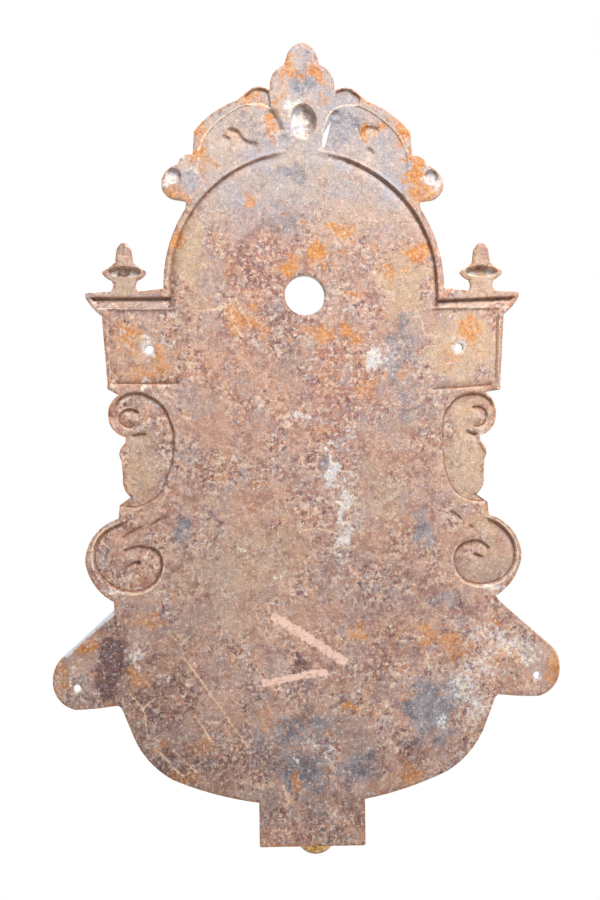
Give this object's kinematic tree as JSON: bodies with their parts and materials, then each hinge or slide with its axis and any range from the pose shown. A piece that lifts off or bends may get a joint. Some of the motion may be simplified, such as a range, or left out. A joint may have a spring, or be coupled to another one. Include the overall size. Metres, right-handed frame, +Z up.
{
  "type": "wall fountain",
  "caption": "Ornamental cast-iron wall fountain: arched back plate with crown, finials and scrolls, a half-round basin on its front and a brass waste with a lift-out strainer.",
  "frame": {"origin": "on the flat rear face of the back plate, midway between the two upper wall-screw holes", "axes": "+Z up along the plate, +Y out of the wall towards the front, +X to the right of someone who looks along +Y at the rear face"},
  "size_m": [0.4824, 0.1927, 0.7843],
  "materials": {
    "rusted_iron": "rough cast, rusted and stained, with traces of white paint",
    "enamelled_iron": "aged white enamel, chipped to rust at edges",
    "aged_brass": "tarnished, spotted",
    "steel": "worn, rust in the slots",
    "rubber": "matt, perished",
    "fibre": "pressed red fibre"
  },
  "bodies": {
    "fountain": {"back_plate": "rusted_iron", "basin": "enamelled_iron", "basin_seal": "rubber", "waste_body": "aged_brass", "waste_top_washer": "rubber", "waste_bottom_washer": "rubber", "waste_locknut": "aged_brass", "nozzle_washer": "fibre", "outlet_nozzle": "aged_brass", "basin_screw_1": "steel", "basin_washer_1": "rubber", "basin_screw_2": "steel", "basin_washer_2": "rubber", "basin_screw_3": "steel", "basin_washer_3": "rubber", "basin_screw_4": "steel", "basin_washer_4": "rubber"},
    "strainer": {"waste_strainer": "aged_brass"}
  },
  "joints": [
    {"name": "strainer_lift", "type": "slide", "parent": "fountain", "child": "strainer", "axis": [0, 0, 1], "range_m": [0, 0.12]}
  ]
}
